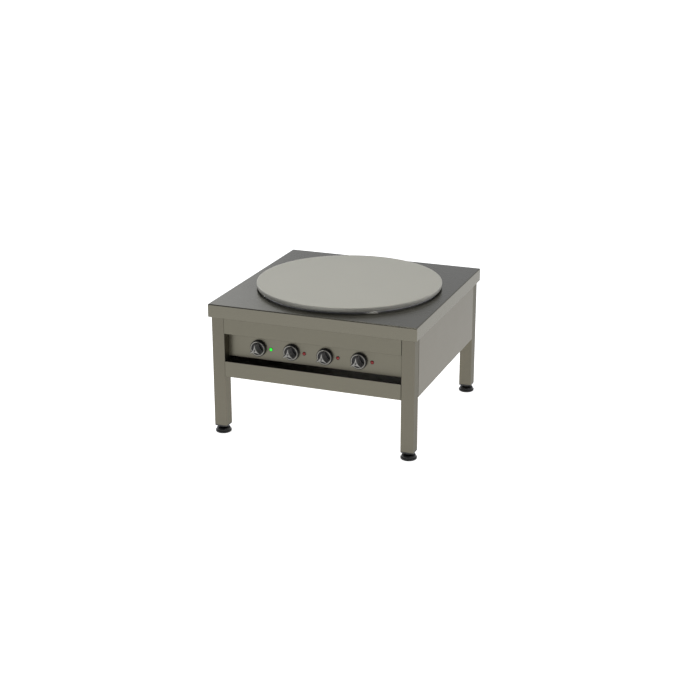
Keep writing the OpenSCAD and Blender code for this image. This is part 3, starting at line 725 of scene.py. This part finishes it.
def makeEnds(name, piece, material, alongX):
    # one upright leaf at each end of a sheet, from its inner face inwards
    low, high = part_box(name)
    thick, deep, cutEdge = panels["thickness"], panels["endFlange"], panels["cutEdge"]
    across, along = ("y", "x") if alongX else ("x", "y")
    near, far = getattr(low, across), getattr(high, across)
    face, way = (near, 1) if near + far < 0 else (far, -1)
    skins = []
    for end, inwards in ((getattr(low, along), 1), (getattr(high, along), -1)):
        section = roundedOutline([(end, face + way * thick, 0), (end, face + way * deep, cutEdge),
                                  (end + inwards * thick, face + way * deep, cutEdge),
                                  (end + inwards * thick, face + way * thick, 0)])
        if not alongX:
            section = section[:, ::-1]
        skins.append(prism(section, low.z + panels["overCover"], high.z,
                           lambda a, b, c: np.stack([a, b, c], 1)))
    addPiece(piece, skins, material, name, 50, False)


makePanel("front_fascia", "fasciaFolded", steelFront, True)
makePanel("lower_rail", "railFolded", steelFront, True, True)
makePanel("side_panel_left", "sidePanelLeftFolded", steelSidePaintedLight, False)
makePanel("side_panel_right", "sidePanelRightFolded", steelSidePaintedLight, False)
makeEnds("front_fascia", "fasciaEnds", steelFront, True)
makeEnds("back_panel", "backPanelEnds", steelFront, True)
makeEnds("side_panel_left", "sidePanelLeftEnds", steelSidePaintedLight, False)
makeEnds("side_panel_right", "sidePanelRightEnds", steelSidePaintedLight, False)
print("legs and panels made")


knob = {
    "capInset": 1.0 * mm,      # the cap ends this far inside the grip
    "capWiden": 0.35 * mm,     # the cap's arms overlap the flutes' edges
    "capCrown": 0.55,          # share of its rise lost towards the edge
    "hubHigh": 0.75 * mm,      # a round bead in the middle, with a dimple inside it
    "hubRound": 3.1 * mm,
    "hubWide": 0.75 * mm,
    "dimpleDeep": 1.0 * mm,
    "hubSlope": 1.6 * mm,      # from the bead's crest out to the hub's foot
    "bore": 3 * mm,            # the skirt's rings of points start this far from the middle
    "skirtBack": 0.6 * mm,     # the skirt's back is hollowed this much inside its rim
    "skirtTaper": 0.4 * mm,
    "skirtEdge": 1.4 * mm,     # rounding of the skirt's front edge
    "gripEdge": 1.0 * mm,      # rounding of the grip's front edge
    "gripFlare": 0.9 * mm,     # the grip widens this much into the skirt
    "tilt": 7,                 # degrees that each flute leans out towards the base
    "fluteShare": 0.66,        # flute radius over grip diameter
    "waistShare": 0.14,        # waist over grip diameter
    "fluteSoft": 0.35 * mm,    # softness of the edge between flute and grip
    "dialGap": 0.75 * mm,      # between the grip and the dial ring
    "dialEdges": (1.0 * mm, 0.6 * mm),   # rounding of the ring's outer and inner edge
    "sink": 0.2 * mm,          # dial and cap start this far inside what they sit on
    "segments": 144,
}


def lobeRadius(angle, back, gripDiameter):
    # Radius of the grip in a direction, a distance behind its front face. Each of three flutes is a
    # circle of radius f at distance d; along a ray at angle b from it the grip ends at
    # d cos b - sqrt(f^2 - d^2 sin^2 b), or at the grip's own radius where the ray misses it.
    # The two are joined by a soft minimum, -s ln(e^(-p/s) + e^(-q/s)).
    f = gripDiameter * knob["fluteShare"]
    d = f + gripDiameter * knob["waistShare"] + back * math.tan(math.radians(knob["tilt"]))
    full, soft = gripDiameter / 2, knob["fluteSoft"]
    result = np.full_like(angle, full)
    for flute in (30, 150, 270):
        b = (angle - math.radians(flute) + math.pi) % turn - math.pi
        inside = f ** 2 - (d * np.sin(b)) ** 2
        hits = (inside > 0) & (np.cos(b) > 0)
        hit = np.where(hits, d * np.cos(b) - np.sqrt(np.maximum(inside, 0)), full * 3)
        result = -soft * np.log(np.exp(-result / soft) + np.exp(-np.minimum(hit, full * 3) / soft))
    return result


def knobPoint(centre, radius, angle, out):
    # local polar point on a knob: angle 0 to the right, 90 degrees up, out towards the front
    x = centre[0] + radius * np.cos(angle)
    z = centre[2] + radius * np.sin(angle)
    y = centre[1] - out + 0 * angle
    return np.stack([x, y, z], -1)


def makeKnob(zone):
    low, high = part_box("knob_" + zone)
    capLow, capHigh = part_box("cap_" + zone)
    dialLow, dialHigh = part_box("dial_" + zone)
    radius = (high.x - low.x) / 2
    centre = np.array([(low.x + high.x) / 2, high.y, (low.z + high.z) / 2])
    baseTop = high.y - dialHigh.y
    gripTop = high.y - low.y
    capTop = high.y - capLow.y
    gripDiameter = 2 * (capHigh.z - centre[2]) + 2 * knob["capInset"]     # one arm points straight up
    angle = np.linspace(0, turn, knob["segments"], endpoint=False)
    edge, bore, back, sink = [knob[key] for key in ("skirtEdge", "bore", "skirtBack", "sink")]

    # skirt: a flat back, a slightly tapered side, a rounded front edge and a flat front
    profile = np.vstack([
        [(bore, back), (radius - 0.8 * mm, back), (radius - 0.3 * mm, 0), (radius, 0.5 * mm)],
        arc((radius - knob["skirtTaper"] - edge, baseTop - edge), edge, 0, 90, 6),
        [(bore, baseTop)],
    ])
    skirt = revolve(profile, knob["segments"], centre, 1, -1)
    addPiece("knobSkirt_" + zone, [closedSurface(skirt)], phenolic, "knob_" + zone, 40)

    # grip: lobed rings from the skirt to the front face
    rows, gripEdge = [], knob["gripEdge"]
    gripFoot = baseTop - 0.3 * mm
    for share in np.linspace(0, 1, 9):
        out = gripFoot + (gripTop - gripEdge - gripFoot) * share
        flare = knob["gripFlare"] * (1 - share) ** 4
        rows.append(knobPoint(centre, lobeRadius(angle, gripTop - out, gripDiameter) + flare, angle, out))
    front = lobeRadius(angle, 0, gripDiameter)
    for a in np.radians(np.linspace(20, 90, 4)):
        inset = gripEdge * (1 - math.cos(a))
        rows.append(knobPoint(centre, front - inset, angle, gripTop - gripEdge * (1 - math.sin(a))))
    rows.append(knobPoint(centre, front * 0.5, angle, gripTop))
    grip = closedSurface(np.stack(rows, 1))
    addPiece("knobGrip_" + zone, [grip], phenolicGripPaintedSheen, "knob_" + zone, 60, False)

    # dial: a ring with a raised, rounded section
    outer, inner = (dialHigh.x - dialLow.x) / 2, gripDiameter / 2 + knob["dialGap"]
    outerRound, innerRound = knob["dialEdges"]
    dialTop = high.y - dialLow.y
    section = roundedOutline([(inner, baseTop - sink, 0), (outer, baseTop - sink, 0),
                              (outer, dialTop, outerRound), (inner, dialTop, innerRound)])
    ring = revolve(section, knob["segments"], centre, 1, -1)
    addPiece("dialRing_" + zone, [closedSurface(ring, True, True)], dialFilm, "dial_" + zone, 40)

    # cap: circles out to the hub's foot, then rings that change evenly into the outline. With u the
    # share of the way from foot to outline, height = rise (1 - crown u^6), and over the hub
    # rise + hub e^(-((r - r0) / w)^2) - dimple / (1 + (1.6 r / r0)^6)
    rows = []
    outline = np.minimum(front + knob["capWiden"], front.max() - 2 * knob["capInset"])
    hubFoot = knob["hubRound"] + knob["hubSlope"]
    rise = capTop - gripTop - knob["hubHigh"]
    rows.append(knobPoint(centre, outline * 0.5, angle, gripTop - sink))
    rows.append(knobPoint(centre, outline, angle, gripTop - sink))
    for u in (1.0, 0.97, 0.9, 0.8, 0.6, 0.4, 0.2, 0.0):
        out = gripTop + rise * (1 - knob["capCrown"] * u ** 6)
        rows.append(knobPoint(centre, hubFoot + (outline - hubFoot) * u, angle, out))
    for r in np.linspace(hubFoot - 0.3 * mm, 0.3 * mm, 14):
        bead = math.exp(-((r - knob["hubRound"]) / knob["hubWide"]) ** 2)
        dimple = knob["dimpleDeep"] / (1 + (1.6 * r / knob["hubRound"]) ** 6)
        out = gripTop + rise + knob["hubHigh"] * bead - dimple
        rows.append(knobPoint(centre, r + 0 * angle, angle, out))
    addPiece("knobCap_" + zone, [closedSurface(np.stack(rows, 1))], capChrome, "cap_" + zone, 35)


for zone in ("mains", "inner", "middle", "outer"):
    makeKnob(zone)
print("knobs made")


lamp = {
    "bezel": 0.9 * mm,       # width of the thin ring round each lens
    "bezelUnder": 1.1,       # the ring reaches this many widths in, under the lens's edge
    "bezelHigh": 1.2 * mm,
    "step": 0.8 * mm,        # the lens's dome starts this far out
    "segments": 40,
}


def domeSkin(centre, radius, height, foot):
    # spherical cap: r = R sin(a), out = foot + R (cos(a) - cos(a0)), with the cap's own R and a0
    ball = (radius ** 2 + height ** 2) / (2 * height)
    edge = math.asin(radius / ball)
    a = np.linspace(edge, 0.08, 8)
    dome = np.stack([ball * np.sin(a), foot + ball * (np.cos(a) - math.cos(edge))], 1)
    profile = np.vstack([[(radius * 0.3, 0), (radius, 0)], dome])
    return closedSurface(revolve(profile, lamp["segments"], centre, 1, -1))


def makeLamps(name, piece, material, centres, radius, reach):
    # a dome for each lens, and a thin ring round it with a rounded section
    domes = [domeSkin(c, radius - lamp["bezel"], reach - lamp["step"], lamp["step"]) for c in centres]
    addPiece(piece, domes, material, name, 40)
    inner, top = radius - lamp["bezelUnder"] * lamp["bezel"], lamp["bezelHigh"]
    section = roundedOutline([(inner, 0, 0), (radius, 0, 0),
                              (radius, top, 0.5 * mm), (inner, top, 0.4 * mm)])
    rings = [closedSurface(revolve(section, lamp["segments"], c, 1, -1), True, True) for c in centres]
    addPiece(piece + "Bezel", rings, blackMoulded, name, 40, False)


def lampCentres(name, count):
    # the lenses stand evenly in a row across their node's box
    low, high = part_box(name)
    radius = (high.z - low.z) / 2
    x = np.linspace(low.x + radius, high.x - radius, count)
    return [(v, high.y, (low.z + high.z) / 2) for v in x], radius, high.y - low.y


makeLamps("mains_lens", "mainsLens", lensGreen, *lampCentres("mains_lens", 1))
makeLamps("zone_lenses", "zoneLenses", lensRedPaintedGlow, *lampCentres("zone_lenses", 3))
print("lamps made")


foot = {
    "lip": 2.2 * mm,           # rounding of the pad's lower edge
    "rim": 1.6 * mm,           # rounding of the rim's upper edge
    "rimHigh": 5.6 * mm,       # where that rounding begins
    "domeIn": 2.6 * mm,        # the dome starts this far inside the rim
    "domeLow": 7.2 * mm,       # and this far above the floor
    "domeTop": 2.0 * mm,       # it ends this far inside the neck
    "socket": 4 * mm,          # depth of the hollow for the stud
    "bore": 3 * mm,            # the rings of points start this far from the middle
    "neckGap": (0.4 * mm, 0.2 * mm),   # under and over the neck
    "neckEdge": 0.8 * mm,
    "stud": 5.95 * mm,         # radius of a 12 mm thread's crests
    "thread": 1.75 * mm,       # pitch of the stud
    "threadDeep": 1.0 * mm,
    "segments": 72,
}


def makeFoot(corner):
    low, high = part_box("pad_" + corner)
    studLow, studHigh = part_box("stud_" + corner)
    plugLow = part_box("leg_plugs")[0].z
    centre = ((low.x + high.x) / 2, (low.y + high.y) / 2, 0)
    radius, height = (high.x - low.x) / 2, high.z
    neck = (studHigh.x - studLow.x) / 2
    studRadius, lip, rim, bore = [foot[key] for key in ("stud", "lip", "rim", "bore")]
    socketRadius, socketFloor = studRadius + 0.8 * mm, height - foot["socket"]

    # pad: a thick rounded rim, a shallow step, then a dome up to the neck. With a from 0 to 1, the
    # dome goes inwards as 1 - sqrt(1 - 0.98 a^2) and upwards as sin(a pi / 2).
    a = np.linspace(0, 1, 9)
    domeFoot, domeTop = (radius - foot["domeIn"], foot["domeLow"]), (neck - foot["domeTop"], height)
    dome = np.stack([domeFoot[0] + (domeTop[0] - domeFoot[0]) * (1 - np.sqrt(1 - a ** 2 * 0.98)),
                     domeFoot[1] + (domeTop[1] - domeFoot[1]) * np.sin(a * math.pi / 2)], 1)
    profile = np.vstack([
        [(bore, 0), (radius - lip, 0)],
        arc((radius - lip, lip + 0.4 * mm), lip, -60, 0, 5),
        arc((radius - rim, foot["rimHigh"]), rim, 0, 90, 5),
        dome,
        [(socketRadius, height), (socketRadius, socketFloor), (bore, socketFloor)],
    ])
    addPiece("footPad_" + corner, [closedSurface(revolve(profile, foot["segments"], centre))],
             footBlack, "pad_" + corner, 40)

    # neck: a short turned collar with rounded edges
    under, over = foot["neckGap"]
    neckLow, neckHigh = height + under, plugLow - over
    inner, edge = studRadius - 0.3 * mm, foot["neckEdge"]
    section = roundedOutline([(inner, neckLow, 0), (neck, neckLow, edge),
                              (neck, neckHigh, edge), (inner, neckHigh, 0)])
    addPiece("footNeck_" + corner, [closedSurface(revolve(section, foot["segments"], centre), True, True)],
             footBlack, "stud_" + corner, 40)

    # stud: a helical ridge, r = r0 - depth |2 frac(z / pitch - a / turn) - 1|
    angle = np.linspace(0, turn, 36, endpoint=False)[:, None]
    z = np.linspace(studLow.z, studHigh.z, int((studHigh.z - studLow.z) / foot["thread"] * 8))[None]
    phase = (z / foot["thread"] - angle / turn) % 1
    ridge = studRadius - foot["threadDeep"] * np.abs(2 * phase - 1)
    grid = np.stack([ridge * np.cos(angle), ridge * np.sin(angle), z + 0 * angle], -1) + np.array(centre)
    addPiece("footThread_" + corner, [closedSurface(grid)], zinc, "stud_" + corner, 80, False)


for corner in ("front_left", "front_right", "rear_left", "rear_right"):
    makeFoot(corner)
print("feet made")
